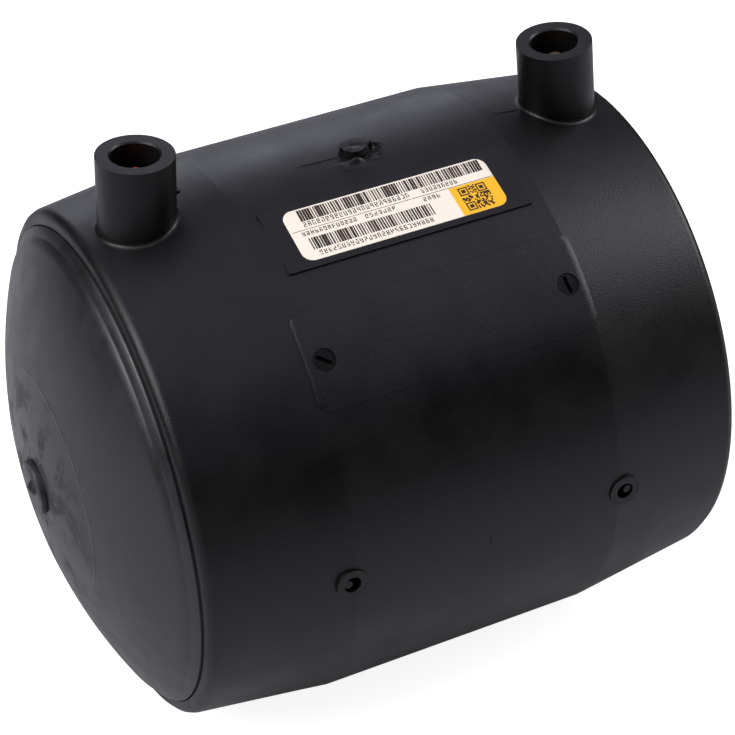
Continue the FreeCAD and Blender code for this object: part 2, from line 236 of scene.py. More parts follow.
# %% Socket plastic
# sizes in mm; the polish fades between two heights off the bed and between two places at its end
GRAIN, GRAIN_DEPTH, HANDLING = 0.42, 0.07, 14.0
BED_SKIN = (0.004, 0.012)
BED_END = (BED_HALF_LENGTH + 0.15, BED_HALF_LENGTH + 0.35)
BED_SMOOTHER, BED_FLATTER = 0.14, 0.85


def make_socket_plastic():
    material, add, place = new_material("moulded_black_polyethylene")
    fine = add(NOISE, {"Vector": place, "Scale": 1 / (GRAIN * MM), "Roughness": 0.6})
    broad = add(NOISE, {"Vector": place, "Scale": 1 / (HANDLING * MM), "Detail": 3.0})
    # polished is 1 on the bed under the label and 0 on the grained outside
    over_bed = add("ShaderNodeVectorMath", (place, BED_NORMAL), operation="DOT_PRODUCT")
    off_bed = add("SUBTRACT", (over_bed, BED_DISTANCE * MM))
    off_bed = add("ABSOLUTE", (off_bed,))
    level = add(RANGE, (off_bed, BED_SKIN[0] * MM, BED_SKIN[1] * MM, 1.0, 0.0))
    along = add("ShaderNodeSeparateXYZ", (place,))
    along = add("ABSOLUTE", (along.outputs["X"],))
    within = add(RANGE, (along, BED_END[0] * MM, BED_END[1] * MM, 1.0, 0.0))
    polished = add("MULTIPLY", (level, within))
    patches = add(RANGE, (broad, 0.35, 0.65))
    shade = add(MIX, {"Factor": patches, "A": colour("#030101"), "B": colour("#080706")},
                data_type="RGBA")
    rough = add(RANGE, (broad, 0.3, 0.7, 0.36, 0.46))
    smoother = add("MULTIPLY", (polished, BED_SMOOTHER))
    rough = add("SUBTRACT", (rough, smoother))
    flatter = add("MULTIPLY", (polished, BED_FLATTER))
    depth = add("SUBTRACT", (1.0, flatter))
    height = add("MULTIPLY", (fine, depth))
    bump = add("ShaderNodeBump", {"Distance": GRAIN_DEPTH * MM, "Strength": 1.0, "Height": height})
    finish_material(add, {"IOR": 1.51, "Specular IOR Level": 0.33, "Base Color": shade,
                          "Roughness": rough, "Normal": bump})
    return material


socket_plastic = make_socket_plastic()
print("made", socket_plastic.name)

# %% [markdown]
# ## The plug's plastic
# The plug is the same polymer from another mould that was turned on a lathe and barely textured.
# Its dome shows faint rings round the bore's axis, a few scratches, and cloudy smears that are
# rougher round the boss. The rings are a wave on the distance from the axis, so they need no mesh.

# %% Plug plastic
# sizes in mm; the smudges fade between two distances from the axis
RING_SPACING, SMEAR, SCRATCH = 1.1, 9.0, 12.0
AROUND_BOSS = (12.0, 34.0)
RING_SHARE, SCRATCH_SHARE, SMUDGE = 0.1, 0.8, 0.22


def make_plug_plastic():
    material, add, place = new_material("turned_mould_black_polyethylene")
    parts = add("ShaderNodeSeparateXYZ", (place,)).outputs
    across = add("ShaderNodeCombineXYZ", {"Y": parts["Y"], "Z": parts["Z"]})
    from_axis = add("ShaderNodeVectorMath", (across,), operation="LENGTH")
    wave = add("MULTIPLY", (from_axis, 2 * math.pi / (RING_SPACING * MM)))
    rings = add("SINE", (wave,))
    fine = add(NOISE, {"Vector": place, "Scale": 1 / (0.5 * MM)})
    smear = add(NOISE, {"Vector": place, "Scale": 1 / (SMEAR * MM), "Detail": 4.0, "Roughness": 0.65})
    stretched = add("ShaderNodeMapping", {"Rotation": (0.6, 0.3, 0.2), "Scale": (1, 18, 1),
                                          "Vector": place})
    scratch = add(NOISE, {"Vector": stretched, "Scale": 1 / (SCRATCH * MM), "Detail": 1.0})
    marks = add(RANGE, (scratch, 0.68, 0.71))
    clouds = add(RANGE, (smear, 0.35, 0.7))
    shade = add(MIX, {"Factor": clouds, "A": colour("#0b0908"), "B": colour("#171415")}, data_type="RGBA")
    near_boss = add(RANGE, (from_axis, AROUND_BOSS[0] * MM, AROUND_BOSS[1] * MM, 1.0, 0.0))
    spots = add(RANGE, (smear, 0.52, 0.6))
    smudged = add("MULTIPLY", (near_boss, spots))
    smudged = add("MULTIPLY", (smudged, SMUDGE))
    rough = add(RANGE, (smear, 0.3, 0.7, 0.34, 0.46))
    rough = add("ADD", (rough, smudged))
    rings = add("MULTIPLY", (rings, RING_SHARE))
    marks = add("MULTIPLY", (marks, SCRATCH_SHARE))
    height = add("ADD", (rings, fine))
    height = add("ADD", (height, marks))
    bump = add("ShaderNodeBump", {"Distance": 0.025 * MM, "Strength": 0.6, "Height": height})
    finish_material(add, {"IOR": 1.51, "Specular IOR Level": 0.62, "Base Color": shade,
                          "Roughness": rough, "Normal": bump})
    return material


plug_plastic = make_plug_plastic()
print("made", plug_plastic.name)

# %% [markdown]
# ## Wire, pins, cap and label
# The heating wire lies in a skin of the same black plastic, smoother because it was drawn. The
# terminal pins are turned brass, dulled a little by air. The cap on one pin is glossy red plastic,
# which tells the fitter which lead goes where. The label is cream paper with a dull coat, printed
# in warm black and in amber. All but the brass are made alike: two near shades in soft clouds.

# %% Small materials
def make_cloudy(name, lump, shades, roughness, shader, detail=2.0, tooth=0.0):
    """Two near shades in clouds of a size in mm, roughness that goes with them, and a faint tooth."""
    material, add, place = new_material(name)
    cloud = add(NOISE, {"Vector": place, "Scale": 1 / (lump * MM), "Detail": detail})
    shade = add(MIX, {"Factor": cloud, "A": colour(shades[0]), "B": colour(shades[1])}, data_type="RGBA")
    rough = add(RANGE, (cloud, 0.3, 0.7, *roughness))
    inputs = {"Base Color": shade, "Roughness": rough, **shader}
    if tooth:
        inputs["Normal"] = add("ShaderNodeBump", {"Distance": 0.01 * MM, "Strength": tooth,
                                                  "Height": cloud})
    finish_material(add, inputs)
    return material


def make_brass():
    material, add, place = new_material("turned_brass")
    tarnish = add(NOISE, {"Vector": place, "Scale": 1 / (1.2 * MM), "Detail": 3.0})
    dull = add(RANGE, (tarnish, 0.4, 0.7))
    shade = add(MIX, {"Factor": dull, "A": colour("#e2cf94"), "B": colour("#b3985a")}, data_type="RGBA")
    rough = add(RANGE, (tarnish, 0.3, 0.7, 0.22, 0.4))
    turned = add(NOISE, {"Vector": place, "Scale": 1 / (0.15 * MM)})
    bump = add("ShaderNodeBump", {"Distance": 0.01 * MM, "Strength": 0.3, "Height": turned})
    finish_material(add, {"Metallic": 1.0, "Base Color": shade, "Roughness": rough, "Normal": bump})
    return material


PRINTED = {"IOR": 1.48, "Specular IOR Level": 0.3}
wire_skin = make_cloudy("drawn_polyethylene_wire_coat", 6.0, ("#151312", "#24211e"), (0.3, 0.42),
                        {"IOR": 1.51})
brass = make_brass()
red_plastic = make_cloudy("glossy_red_polypropylene", 0.8, ("#ee2a1e", "#fb5646"), (0.25, 0.4),
                          {"IOR": 1.49})
label_paper, black_ink, amber_ink = (
    make_cloudy(name, lump, shades, (middle - 0.06, middle + 0.06), PRINTED, detail=4.0, tooth=0.25)
    for name, lump, shades, middle in (
        ("coated_label_paper", 0.9, ("#f1e9d8", "#e8dfca"), 0.5),
        ("thermal_print_black", 0.35, ("#231b15", "#37291f"), 0.45),
        ("amber_print_field", 0.6, ("#f6bd2a", "#eeb01c"), 0.42)))
print("made", len(bpy.data.materials), "materials")

# %% [markdown]
# ## The socket
# The socket is one moulding: a barrel whose ends taper to thin mouths, with two round shrouds. Its
# shape is exact in the frame, but the frame's mesh has long flat triangles. Averaged normals would
# leave streaks on them. Nearly every face here was turned round some axis, so the true normal is
# known: take the face's own slope along that axis, and turn it to where each corner stands.

# %% Axes that the socket's forms are turned round
def shroud_frame(side):
    """Foot point, axis and the two directions across it, in mm."""
    base = Vector((side * (BARREL_HALF - SHROUD_INSET), 0, BARREL_RADIUS))
    axis = Vector((-side * math.sin(SHROUD_LEAN), 0, math.cos(SHROUD_LEAN)))
    out = Vector((math.cos(SHROUD_LEAN), 0, side * math.sin(SHROUD_LEAN)))
    return base, axis, out, Vector((0, 1, 0))


INDICATOR_X = 37.3
POST_OFFSET = 0.9
SAME_RADIUS = 0.03
BORE_AXIS = (Vector((0, 0, 0)), Vector((1, 0, 0)))
UPRIGHT, SIDEWAYS = Vector((0, 0, 1)), Vector((0, 1, 0))
# every other axis, with the radii in mm that are turned round it
SMALL_AXES = [((Vector((0, 0, 0)), UPRIGHT), (3.8,))]
for side in (-1, 1):
    SMALL_AXES += [
        (shroud_frame(side)[:2], (SHROUD_RADIUS, 6.0, 6.4)),
        ((Vector((side * INDICATOR_X, 0, 0)), SIDEWAYS), (4.1, 2.2)),
        ((Vector((side * (INDICATOR_X + POST_OFFSET), 0, 0)), SIDEWAYS), (1.05,)),
    ]


def away_from(line, point):
    """Vector from an axis straight out to a point."""
    place, axis = line
    offset = point - place
    return offset - axis * offset.dot(axis)


def axis_of_face(corners):
    """The small axis whose named radius all corners lie at, or else the bore's."""
    for line, radii in SMALL_AXES:
        distances = [away_from(line, corner).length for corner in corners]
        if all(min(abs(distance - radius) for radius in radii) < SAME_RADIUS for distance in distances):
            return line
    return BORE_AXIS


# %% True normals at every corner
RIM_ROUND = 3.0
RIM_CENTRE = (BARREL_HALF - RIM_ROUND, 63.646)


def corner_normal(line, face_normal, centre, corner):
    """The normal of the turned form at a corner; flat ends and the bed keep the face's own."""
    axis = line[1]
    if face_normal.dot(BED_NORMAL) > 0.9999 and abs(corner.dot(BED_NORMAL) - BED_DISTANCE) < 0.01:
        return face_normal
    if line is BORE_AXIS:
        past = abs(corner.x) - RIM_CENTRE[0]
        over = math.hypot(corner.y, corner.z) - RIM_CENTRE[1]
        slope = abs(face_normal.x)
        if 0.2 < slope < 0.98 and abs(math.hypot(past, over) - RIM_ROUND) < 0.05:
            radial = away_from(line, corner).normalized()
            return (axis * math.copysign(past, corner.x) + radial * over).normalized()
    along = face_normal.dot(axis)
    radial = away_from(line, centre).normalized()
    across = face_normal.dot(radial)
    if along ** 2 + across ** 2 < 0.97:
        return face_normal
    return (axis * along + away_from(line, corner).normalized() * across).normalized()


def turned_normals(mesh):
    normals = []
    for polygon in mesh.polygons:
        corners = [mesh.vertices[i].co / MM for i in polygon.vertices]
        centre = sum(corners, Vector()) / len(corners)
        line = axis_of_face(corners)
        normals += [corner_normal(line, polygon.normal.copy(), centre, corner) for corner in corners]
    return normals


# %% [markdown]
# ## Screw imprints
# Two slotted screws held a plate in the tool, and the plastic copied their heads: a shallow round
# dip with a deep slot. Each is a pair of prisms that follow the barrel, and they are cut out of
# whatever lies there, so that the slot is as dark as a real one.

# %% Cutters for the screw imprints
SCREW_ANGLE = 44.7
SCREW_X = 32.4
HEAD_RADIUS = 2.85
SLOT_HALF_LENGTH = 2.2
SLOT_HALF_WIDTH = 0.5
SLOT_TURNS = {-1: math.radians(38), 1: math.radians(84)}
HEAD_DEPTH, SLOT_DEPTH = 0.12, 1.8


def stadium(half_length, half_width, turn, steps=10):
    """Points round a bar with round ends, turned by an angle."""
    reach = half_length - half_width
    outline = []
    for end in (0, 1):
        for k in range(steps + 1):
            bow = -math.pi / 2 + math.pi * (k / steps + end)
            u = reach * (1 - 2 * end) + half_width * math.cos(bow)
            v = half_width * math.sin(bow)
            outline.append((u * math.cos(turn) - v * math.sin(turn),
                            u * math.sin(turn) + v * math.cos(turn)))
    return outline


def barrel_prism(x, angle, outline, low, high):
    """Closed mesh over an outline of (u, v) laid on the barrel, between two heights."""
    points = [on_cylinder(x + u, angle + math.degrees(v / BARREL_RADIUS), BARREL_RADIUS + up)
              for up in (low, high) for u, v in outline]
    count = len(outline)
    ends = [tuple(range(count)), tuple(range(count, 2 * count))]
    return closed_mesh("cutter", points, ends + ring_faces(count, 2))


def screw_cutters():
    cutters = []
    for side, turn in SLOT_TURNS.items():
        head = stadium(HEAD_RADIUS, HEAD_RADIUS - 0.001, turn, 24)
        slot = stadium(SLOT_HALF_LENGTH, SLOT_HALF_WIDTH, turn)
        cutters.append(barrel_prism(side * SCREW_X, SCREW_ANGLE, head, -HEAD_DEPTH, 2.0))
        cutters.append(barrel_prism(side * SCREW_X, SCREW_ANGLE, slot, -SLOT_DEPTH, 1.9))
    return cutters


def cut_out(mesh, cutters):
    """The mesh with each cutter taken away from it."""
    for cutter in cutters:
        pair = [bpy.data.objects.new("cut_body", mesh), bpy.data.objects.new("cut_tool", cutter)]
        for item in pair:
            bpy.context.scene.collection.objects.link(item)
        taken = pair[0].modifiers.new("cut", "BOOLEAN")
        taken.operation, taken.solver, taken.object = "DIFFERENCE", "EXACT", pair[1]
        bpy.context.view_layer.update()
        done = pair[0].evaluated_get(bpy.context.evaluated_depsgraph_get())
        mesh = bpy.data.meshes.new_from_object(done)
        for item in pair:
            bpy.data.objects.remove(item)
    return mesh


# %% Socket, from a merged copy of the solid
def merged_copy(node, name, material, slot):
    """A node's mesh with its split corners merged and the screws' imprints cut."""
    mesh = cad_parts[node].data.copy()
    work = bmesh.new()
    work.from_mesh(mesh)
    bmesh.ops.remove_doubles(work, verts=work.verts, dist=0.002 * MM)
    work.to_mesh(mesh)
    work.free()
    mesh = cut_out(mesh, screw_cutters())
    mesh.name = name
    piece = finish_piece(name, mesh, material, slot, 180)
    mesh.normals_split_custom_set(turned_normals(mesh))
    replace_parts(piece, node)
    return piece


merged_copy("socket_body", "socket", socket_plastic, "socket_body")

# %% [markdown]
# ## The shrouds' feet
# Where a shroud meets the cone the mould has a small round, which catches a thin bright line. The
# line of contact is a saddle curve. For each direction round the shroud the code finds that
# contact, then sweeps a small hollow curve from the shroud's side to the cone.

# %% Fillets at the shrouds' feet
def height_over_barrel(point):
    return math.hypot(point.y, point.z) - barrel_radius(point.x)


def contact_height(base, axis, offset):
    """How far along the axis a line beside it meets the barrel's outside."""
    low, high = -12.0, 4.0
    for _ in range(40):
        middle = (low + high) / 2
        if height_over_barrel(base + offset + axis * middle) < 0:
            low = middle
        else:
            high = middle
    return high


def make_foot_fillet(name, side, size=1.15, steps=144, arc_steps=7):
    """A hollow round between a shroud and the cone, with its back edge inside the plastic."""
    base, axis, out, across = shroud_frame(side)
    points = []
    for k in range(steps):
        turn = 2 * math.pi * k / steps
        direction = out * math.cos(turn) + across * math.sin(turn)
        corner = base + direction * SHROUD_RADIUS
        corner += axis * contact_height(base, axis, direction * SHROUD_RADIUS)
        top = corner + axis * size
        wide = direction * (SHROUD_RADIUS + size)
        foot = base + wide + axis * contact_height(base, axis, wide)
        for step in range(arc_steps):
            t = step / (arc_steps - 1)
            points.append(top * (1 - t) ** 2 + corner * 2 * t * (1 - t) + foot * t ** 2)
        points.append(corner - (direction + axis) * 0.4)
    faces = ring_faces(arc_steps + 1, steps, wrap=True)
    make_closed(name, points, faces, socket_plastic, "socket_body", 60)


make_foot_fillet("shroud_foot_dome_end", -1)
make_foot_fillet("shroud_foot_mouth_end", 1)

# %% [markdown]
# ## Plates on the barrel
# The raised plain panel and the label's paper are thin plates with rounded corners. One follows the
# round barrel, the other lies flat on its bed. One function makes such a plate in a sheet of
# lengths along the bore and down from the plate's middle, and a placing function lays the sheet.
# The panel is plain, and the screws' imprints are cut out of it too.

# %% Raised panel
def rounded_plate(place, half_length, half_width, corner, low, high, bevel, rows=24, columns=40):
    """Points and faces of a closed plate between two heights, its top edge bevelled."""
    points = []

    def layer(inset, height):
        start = len(points)
        for j in range(rows + 1):
            down = -math.cos(math.pi * j / rows) * (half_width - inset)
            over = max(0.0, abs(down) - (half_width - corner))
            reach = half_length - inset - corner + math.sqrt(max(0.0, corner ** 2 - over ** 2))
            points.extend(place(reach * (2 * i / columns - 1), down, height) for i in range(columns + 1))
        return start

    top, shoulder, bottom = layer(bevel, high), layer(0.0, high - bevel), layer(0.0, low)
    width = columns + 1
    faces = []
    for start, flip in ((top, False), (bottom, True)):
        for j in range(rows):
            for i in range(columns):
                quad = [start + j * width + i, start + j * width + i + 1,
                        start + (j + 1) * width + i + 1, start + (j + 1) * width + i]
                faces.append(quad[::-1] if flip else quad)
    edge = list(range(width))
    edge += [j * width + columns for j in range(1, rows + 1)]
    edge += [rows * width + i for i in range(columns - 1, -1, -1)]
    edge += [j * width for j in range(rows - 1, 0, -1)]
    for upper, lower in ((top, shoulder), (shoulder, bottom)):
        for a, b in zip(edge, edge[1:] + edge[:1]):
            faces.append((upper + a, upper + b, lower + b, lower + a))
    return points, faces


def on_panel(x, down, up):
    return on_cylinder(x, PANEL_ANGLE + math.degrees(down / BARREL_RADIUS), BARREL_RADIUS + up)


PANEL_ANGLE = 44.3
PANEL_HALF_LENGTH = 37.2
PANEL_HALF_WIDTH = math.radians(10.2) * BARREL_RADIUS
PANEL_HEIGHT = 0.14
points, faces = rounded_plate(on_panel, PANEL_HALF_LENGTH, PANEL_HALF_WIDTH, corner=3.0,
                              low=-0.6, high=PANEL_HEIGHT, bevel=0.1)
panel = closed_mesh("panel", points, faces)
finish_piece("raised_panel", cut_out(panel, screw_cutters()), socket_plastic, "socket_body", 50)


# %% [markdown]
# ## The plug's dome
# The plug is turned round the bore's axis in every part, so it is one outline spun round. The
# outline starts at the round boss where the plastic flowed in, and goes down through the groove
# round it, over the long shallow crown, the quick curve at the dome's foot and the sloped shoulder
# into the bore. Two hair-fine rings stand where the mould's inserts meet.

# %% End plug
SHOULDER = -74.7
CROWN = -90.87
CROWN_CURVE = 125.0
KNUCKLE = 8.0
DOME_FOOT = 60.4
HOLLOW_RADIUS = 51.1
HOLLOW_END = -70.87
PLUG_END = -1.65
SHOULDER_SLOPE = 1.6
BOSS_RADIUS, BOSS_HEIGHT, BOSS_ROUND = 7.0, 1.15, 0.35
GROOVE_DEPTH = 0.5
HOLLOW_ROUND = 5.0
RIDGES = {10.6: 0.07, 30.2: 0.05}


def crown_x(radius):
    return CROWN + CROWN_CURVE - math.sqrt(CROWN_CURVE ** 2 - radius ** 2)


def knuckle_points(count=9):
    """The small arc from the shoulder to the crown, tangent to the crown's large arc."""
    centre = Vector((CROWN + CROWN_CURVE, 0.0))
    foot = Vector((SHOULDER, DOME_FOOT))
    span = (foot - centre).length
    inner = CROWN_CURVE - KNUCKLE
    along = (inner ** 2 - KNUCKLE ** 2 + span ** 2) / (2 * span)
    aside = math.sqrt(max(0.0, inner ** 2 - along ** 2))
    toward = (foot - centre).normalized()
    across = Vector((toward.y, -toward.x)) * aside
    options = [centre + toward * along + across * side for side in (-1, 1)]
    middle = min(options, key=lambda option: option.y)
    start = math.atan2(foot.y - middle.y, foot.x - middle.x)
    meet = (middle - centre).normalized()
    end = math.atan2(meet.y, meet.x)
    return [(middle.x + KNUCKLE * math.cos(start + (end - start) * k / count),
             middle.y + KNUCKLE * math.sin(start + (end - start) * k / count)) for k in range(count + 1)]


def ridge_points(radius, height):
    """A hair-fine ring on the crown."""
    return [(crown_x(radius + shift) - up, radius + shift)
            for shift, up in ((-0.25, 0), (-0.08, height), (0.08, height), (0.25, 0))]


def plug_outline(crown_step=1.5):
    boss_top = CROWN - BOSS_HEIGHT
    outline = [(boss_top, 0), (boss_top, 3.0), (boss_top, BOSS_RADIUS - BOSS_ROUND)]
    for k in range(1, 5):
        turn = math.pi / 2 * k / 4
        outline.append((boss_top + BOSS_ROUND * (1 - math.cos(turn)),
                        BOSS_RADIUS - BOSS_ROUND * (1 - math.sin(turn))))
    groove = crown_x(BOSS_RADIUS) + GROOVE_DEPTH
    outline += [(groove, BOSS_RADIUS), (groove, BOSS_RADIUS + 0.3)]
    outline.append((crown_x(BOSS_RADIUS + 0.75), BOSS_RADIUS + 0.75))
    knuckle = knuckle_points()
    radius = BOSS_RADIUS + 1.0
    while radius < knuckle[-1][1] - 0.6:
        outline.append((crown_x(radius), radius))
        for ridge, height in RIDGES.items():
            if radius < ridge <= radius + crown_step:
                outline += ridge_points(ridge, height)
        radius += crown_step
    outline += knuckle[::-1]
    outline += [(SHOULDER + 0.12, DOME_FOOT + 0.25), (SHOULDER + SHOULDER_SLOPE - 0.3, PLUG_RADIUS - 0.25)]
    outline += [(SHOULDER + SHOULDER_SLOPE, PLUG_RADIUS), (SHOULDER + 6.0, PLUG_RADIUS)]
    outline += [(PLUG_END - 1.0, PLUG_RADIUS), (PLUG_END, PLUG_RADIUS - 1.0)]
    outline += [(PLUG_END, HOLLOW_RADIUS + 0.6), (PLUG_END - 0.6, HOLLOW_RADIUS)]
    for k in range(9):
        turn = math.pi / 2 * k / 8
        outline.append((HOLLOW_END + HOLLOW_ROUND * (1 - math.sin(turn)),
                        HOLLOW_RADIUS - HOLLOW_ROUND * (1 - math.cos(turn))))
    return outline + [(HOLLOW_END, 20.0), (HOLLOW_END, 0)]


points, faces = spin(plug_outline(), 288, round_bore)
plug = make_closed("plug", points, faces, plug_plastic, "end_plug", 30)
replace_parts(plug, "end_plug")

# %% [markdown]
# ## Marks of the moulds
# A gate is where melt enters a mould, and what stands there is broken off. That leaves a torn stub
# on the plug's boss, a snapped disc with torn folds beside it on top of the barrel, and a nub on
# one shroud. A faint seam runs along the top, where the two halves of the tool met, and a short
# flaw lies between the indicators. They are rough solids moved by a seeded random, and thin ridges.

# %% Gate stubs and seam
def make_torn_stub(name, centre, axis, radius, height, seed, material, slot):
    """A torn stub of plastic: a lumpy low cone with a ragged top."""
    chance = random.Random(seed)
    axis = Vector(axis).normalized()
    side = axis.orthogonal().normalized()
    other = axis.cross(side)
    steps, levels, foot = 22, 5, 0.3
    points = []
    for level in range(levels):
        t = level / (levels - 1)
        for k in range(steps):
            turn = 2 * math.pi * k / steps
            wide = radius * (1 - 0.75 * t ** 1.5) * (1 + chance.uniform(-0.13, 0.13) * (0.3 + t))
            up = height * t * (1 + chance.uniform(-0.35, 0.35) * t) - foot * (level == 0)
            outwards = side * wide * math.cos(turn) + other * wide * math.sin(turn)
            points.append(Vector(centre) + outwards + axis * up)
    return make_closed(name, points, tube_faces(steps, levels), material, slot, 30)


def make_ridge(name, start, end, width, height):
    """A thin raised seam between two points of (x, angle) on the barrel, faded out at both ends."""
    steps, foot = 60, -0.2
    points = []
    for k in range(steps + 1):
        t = k / steps
        x, angle = (a * (1 - t) + b * t for a, b in zip(start, end))
        fade = min(1.0, 6 * t, 6 * (1 - t))
        half = width / 2 * (0.3 + 0.7 * fade)
        crest = height * fade
        radius = barrel_radius(x)
        for offset, up in ((-half, foot), (-half * 0.35, crest), (half * 0.35, crest), (half, foot)):
            points.append(on_cylinder(x, angle + math.degrees(offset / radius), radius + up))
    make_closed(name, points, tube_faces(4, steps + 1), socket_plastic, "socket_body", 40)


make_torn_stub("plug_gate_stub", (CROWN - BOSS_HEIGHT, -0.6, 0.4), (-1, -0.12, 0.1), 2.1, 1.1, 4,
               plug_plastic, "end_plug")


def ragged(chance, waves=9):
    """A rough value from -1 to 1 over a plane, as a sum of waves of random run and phase."""
    terms = [(chance.uniform(0.8, 3.2), chance.uniform(0, 2 * math.pi), chance.uniform(0, 2 * math.pi))
             for _ in range(waves)]
    return lambda u, v: sum(math.sin(f * (u * math.cos(a) + v * math.sin(a)) + p) for f, a, p in terms) / 4


def bump_at(u, v, centre, widths, turn=0.0):
    """A smooth hill of height 1 at a centre."""
    du, dv = u - centre[0], v - centre[1]
    along = (du * math.cos(turn) + dv * math.sin(turn)) / widths[0]
    aside = (dv * math.cos(turn) - du * math.sin(turn)) / widths[1]
    return math.exp(-along ** 2 - aside ** 2)


DISC_RADIUS, DISC_HEIGHT = 3.5, 2.1
# the torn folds round the disc: height, middle, widths in mm and turn
FOLDS = [(1.7, (-1.9, 4.9), (2.5, 1.05), 0.1), (0.7, (3.6, 4.3), (1.6, 1.0), -0.5),
         (0.35, (1.0, 6.4), (2.6, 0.9), 0.0), (1.7, (4.4, 0.5), (0.6, 0.35), 0.0),
         (1.2, (5.9, 0.1), (1.6, 0.24), -0.12), (1.1, (4.4, -0.9), (0.22, 0.8), 0.2)]


def scar_height(u, v, rough):
    """Height in mm over the barrel at a place round the snapped disc."""
    out = math.hypot(u, v)
    edge = DISC_RADIUS + 0.16 * rough(u * 0.9, v * 0.9)
    wall = min(1.0, max(0.0, (edge + 0.09 - out) / 0.18))
    torn = sum(up * bump_at(u, v, centre, widths, turn) for up, centre, widths, turn in FOLDS)
    torn *= 1 + 0.14 * rough(u, v)
    groove = 0.3 * math.exp(-((out - DISC_RADIUS - 0.5) / 0.35) ** 2)
    top = DISC_HEIGHT + 0.03 * rough(u * 1.7, v * 1.1) + 0.04 * rough(v * 0.8, 2.2 * u)
    top -= 0.25 * bump_at(u, v, (0.4, 0.6), (1.6, 0.9), 0.3)
    return wall * top + (1 - wall) * (torn - groove) - 0.06


def make_gate_scar():
    """The snapped disc on top of the barrel, a rough field of heights in rings round its middle."""
    reach, rings, sectors, foot = 9.5, 110, 200, -1.0
    rough = ragged(random.Random(21))
    points = [on_cylinder(0, 0, BARREL_RADIUS + scar_height(0, 0, rough))]
    for ring in range(1, rings + 2):
        out = reach * min(ring, rings) / rings
        for k in range(sectors):
            turn = 2 * math.pi * k / sectors
            u, v = out * math.cos(turn), out * math.sin(turn)
            up = foot if ring > rings else scar_height(u, v, rough)
            points.append(on_cylinder(u, math.degrees(v / BARREL_RADIUS), BARREL_RADIUS + up))
    faces = [(0, 1 + k, 1 + (k + 1) % sectors) for k in range(sectors)]
    faces += ring_faces(sectors, rings + 1, start=1)
    faces.append([1 + rings * sectors + k for k in range(sectors)])
    make_closed("barrel_gate_scar", points, faces, socket_plastic, "socket_body")


make_gate_scar()
make_ridge("seam_mouth_end", (38.7, 0.0), (46.6, 0.1), 0.5, 0.1)
make_ridge("seam_dome_end", (-15.4, 0.1), (-3.2, 0.4), 0.5, 0.1)
make_ridge("indicator_line_flaw", (0.0, 90.5), (0.0, 92.1), 0.35, 0.12)
nub_base, nub_axis, nub_out, nub_across = shroud_frame(-1)
nub_way = (nub_out * 0.907 - nub_across * 0.42).normalized()
nub_place = nub_base + nub_axis * 5.9 + nub_way * (SHROUD_RADIUS - 0.05)
make_torn_stub("shroud_nub", nub_place, nub_way, 0.9, 0.8, 15, socket_plastic, "socket_body")

# %% [markdown]
# ## The heating wire
# The coil is one coated wire laid turn against turn in the bore, in two zones: one welds the plug,
# the other the pipe. It repeats, so Geometry Nodes lay it: one tree lays a helix in each zone and
# two straight links between them, and a round profile turns them all to wire. Its inputs are the
# wire's sizes, and the result is turned into a plain mesh.

# %% Heating wire by Geometry Nodes
def new_tree(name, inputs):
    """A tree with its inputs, what adds a node to it, and the sockets that give the inputs' values."""
    tree = bpy.data.node_groups.new(name, "GeometryNodeTree")
    for label, kind, value in inputs:
        socket = tree.interface.new_socket(label, in_out="INPUT", socket_type=kind)
        if value is not None:
            socket.default_value = value
    tree.interface.new_socket("Geometry", in_out="OUTPUT", socket_type="NodeSocketGeometry")
    add = partial(add_node, tree)
    return tree, add, add("NodeGroupInput").outputs


def socket_id(tree, label):
    return next(item.identifier for item in tree.interface.items_tree
                if item.item_type == "SOCKET" and item.in_out == "INPUT" and item.name == label)


def grow(tree, values, name, slot, smooth_degrees=40):
    """Runs a tree once with named values and keeps the result as a plain mesh piece."""
    carrier = bpy.data.objects.new(name + "_grown", bpy.data.meshes.new(name))
    bpy.context.scene.collection.objects.link(carrier)
    modifier = carrier.modifiers.new("grow", "NODES")
    modifier.node_group = tree
    for label, value in values.items():
        modifier[socket_id(tree, label)] = value
    bpy.context.view_layer.update()
    depsgraph = bpy.context.evaluated_depsgraph_get()
    mesh = bpy.data.meshes.new_from_object(carrier.evaluated_get(depsgraph))
    material = next(item for item in mesh.materials if item)
    bpy.data.objects.remove(carrier)
    face_outwards(mesh)
    return finish_piece(name, mesh, material, slot, smooth_degrees)


